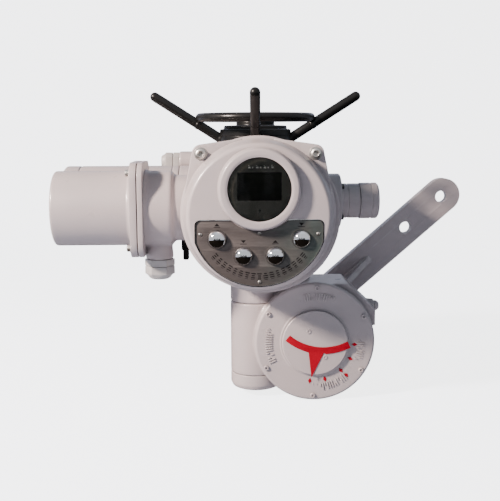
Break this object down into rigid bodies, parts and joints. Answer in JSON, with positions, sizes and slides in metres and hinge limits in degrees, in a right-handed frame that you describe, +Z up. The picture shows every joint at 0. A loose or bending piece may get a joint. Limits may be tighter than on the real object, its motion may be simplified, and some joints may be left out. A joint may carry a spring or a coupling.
{
  "type": "motorized valve actuator",
  "caption": "Motorized quarter-turn valve actuator: electric drive with handwheel, display and push buttons on a worm gearbox that swings a lever arm.",
  "frame": {"origin": "centre of the rear end of the output shaft", "axes": "+Z up along the vertical drive axis, the control face and the pointer look along -Y, +X to the viewer's right; the lever arm is at the back"},
  "size_m": [0.66, 0.3207, 0.4673],
  "materials": {
    "grey_enamel": "semi-gloss light grey enamel over sand-cast aluminium",
    "black_enamel": "gloss black enamel",
    "chrome": "polished",
    "brushed_plate": "fine brushed",
    "zinc_steel": "zinc plated",
    "turned_steel": "turned, oiled",
    "bronze": "machined tin bronze",
    "rubber": "matt",
    "window_glass": "dark tinted toughened glass",
    "black_plastic": "matt moulded",
    "circuit_board": "solder mask",
    "grey_nylon": "moulded nylon",
    "stator_winding": "varnished copper and laminations"
  },
  "bodies": {
    "housing": {"main_housing": "grey_enamel", "top_bearing_cover": "grey_enamel", "control_cover": "grey_enamel", "terminal_cover": "grey_enamel", "motor_housing": "grey_enamel", "spring_pack_housing": "grey_enamel", "spring_pack_cap": "grey_enamel", "gearbox_case": "grey_enamel", "gearbox_cover": "grey_enamel", "column_cap": "grey_enamel", "control_plate": "brushed_plate", "window_glass": "window_glass", "display_module": "black_plastic", "terminal_block": "black_plastic", "control_board": "circuit_board", "keypad_mat": "rubber", "cover_gasket": "rubber", "terminal_gasket": "rubber", "plate_screw_1": "zinc_steel", "cover_screw_1": "zinc_steel", "terminal_bolt_1": "zinc_steel", "plate_screw_2": "zinc_steel", "cover_screw_2": "zinc_steel", "terminal_bolt_2": "zinc_steel", "plate_screw_3": "zinc_steel", "cover_screw_3": "zinc_steel", "terminal_bolt_3": "zinc_steel", "plate_screw_4": "zinc_steel", "cover_screw_4": "zinc_steel", "terminal_bolt_4": "zinc_steel", "side_stop_bolt": "zinc_steel", "top_stop_bolt": "zinc_steel", "power_gland_body": "grey_nylon", "power_gland_nut": "grey_nylon", "signal_gland_body": "grey_nylon", "signal_gland_nut": "grey_nylon", "upper_bearing": "turned_steel", "lower_bearing": "turned_steel", "disc_springs": "turned_steel", "front_bush": "bronze", "rear_bush": "bronze", "motor_stator": "stator_winding"},
    "drive": {"handwheel": "black_enamel", "drive_sleeve": "turned_steel", "output_worm": "turned_steel"},
    "primary_wheel": {"primary_worm_wheel": "bronze"},
    "motor_shaft": {"motor_rotor": "turned_steel", "primary_worm": "turned_steel"},
    "output": {"output_shaft": "turned_steel", "output_worm_wheel": "bronze", "pointer_cap": "grey_enamel", "lever_arm": "grey_enamel", "arm_key": "turned_steel"},
    "button_1": {"push_button_1": "chrome"},
    "button_2": {"push_button_2": "chrome"},
    "button_3": {"push_button_3": "chrome"},
    "button_4": {"push_button_4": "chrome"},
    "declutch": {"declutch_lever": "black_enamel"}
  },
  "joints": [
    {"name": "output_turn", "type": "hinge", "parent": "housing", "child": "output", "pos_m": [0, 0, 0], "axis": [0, -1, 0], "range_deg": [0, 90]},
    {"name": "handwheel_turn", "type": "hinge", "parent": "housing", "child": "drive", "pos_m": [-0.0876, -0.148, 0.3], "axis": [0, 0, 1], "range_deg": [0, 3600]},
    {"name": "primary_wheel_turn", "type": "hinge", "parent": "housing", "child": "primary_wheel", "pos_m": [-0.0876, -0.148, 0.205], "axis": [0, 0, 1], "continuous": true},
    {"name": "motor_turn", "type": "hinge", "parent": "housing", "child": "motor_shaft", "pos_m": [-0.0876, -0.086, 0.205], "axis": [1, 0, 0], "continuous": true},
    {"name": "button_1_press", "type": "slide", "parent": "housing", "child": "button_1", "axis": [0, 1, 0], "range_m": [0, 0.003], "stiffness_N_per_m": 700},
    {"name": "button_2_press", "type": "slide", "parent": "housing", "child": "button_2", "axis": [0, 1, 0], "range_m": [0, 0.003], "stiffness_N_per_m": 700},
    {"name": "button_3_press", "type": "slide", "parent": "housing", "child": "button_3", "axis": [0, 1, 0], "range_m": [0, 0.003], "stiffness_N_per_m": 700},
    {"name": "button_4_press", "type": "slide", "parent": "housing", "child": "button_4", "axis": [0, 1, 0], "range_m": [0, 0.003], "stiffness_N_per_m": 700},
    {"name": "declutch_turn", "type": "hinge", "parent": "housing", "child": "declutch", "pos_m": [-0.1876, -0.178, 0.149], "axis": [1, 0, 0], "range_deg": [0, 45]}
  ],
  "couplings": [
    {"joint": "handwheel_turn", "follows": "output_turn", "ratio": 40},
    {"joint": "motor_turn", "follows": "primary_wheel_turn", "ratio": 30}
  ]
}
